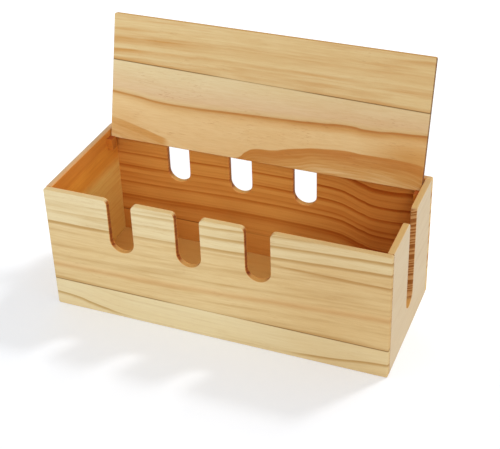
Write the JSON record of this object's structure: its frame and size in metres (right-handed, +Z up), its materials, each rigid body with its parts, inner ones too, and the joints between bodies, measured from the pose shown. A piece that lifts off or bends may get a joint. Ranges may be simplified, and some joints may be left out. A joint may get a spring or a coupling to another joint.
{
  "type": "cable management box",
  "caption": "Long wooden box with U-shaped cable slots in the front, back and right side and a hinged lid that drops in flush between the walls, shown open.",
  "frame": {"origin": "middle of the flat underside of the box, without the lid's overhang", "axes": "+X along the box to the right, -Y towards the front, +Z up; millimetres in the source, metres in the row"},
  "size_m": [0.332, 0.157, 0.2431],
  "materials": {
    "pine_front": "clear satin lacquer, grain along the box",
    "pine_side": "clear satin lacquer, grain front to back",
    "pine_base": "clear satin lacquer, grain along the box",
    "pine_lid": "clear satin lacquer, grain along the box",
    "pine_block": "bare planed wood",
    "beech_dowel": "bare turned wood, glued in",
    "steel_pin": "plain drawn steel"
  },
  "bodies": {
    "box": {"front_upper_board": "pine_front", "front_lower_board": "pine_front", "back_upper_board": "pine_front", "back_lower_board": "pine_front", "left_side_panel": "pine_side", "right_side_panel": "pine_side", "base_front_board": "pine_base", "base_rear_board": "pine_base", "left_stop_block": "pine_block", "right_stop_block": "pine_block", "left_lid_rest": "pine_block", "right_lid_rest": "pine_block", "front_left_dowels": "beech_dowel", "front_right_dowels": "beech_dowel", "rear_left_dowels": "beech_dowel", "rear_right_dowels": "beech_dowel"},
    "lid": {"lid_front_board": "pine_lid", "lid_rear_board": "pine_lid", "left_hinge_pin": "steel_pin", "right_hinge_pin": "steel_pin"}
  },
  "joints": [
    {"name": "lid_hinge", "type": "hinge", "parent": "box", "child": "lid", "pos_m": [0, 0.0562, 0.1276], "axis": [1, 0, 0], "range_deg": [0, 104.5]}
  ]
}
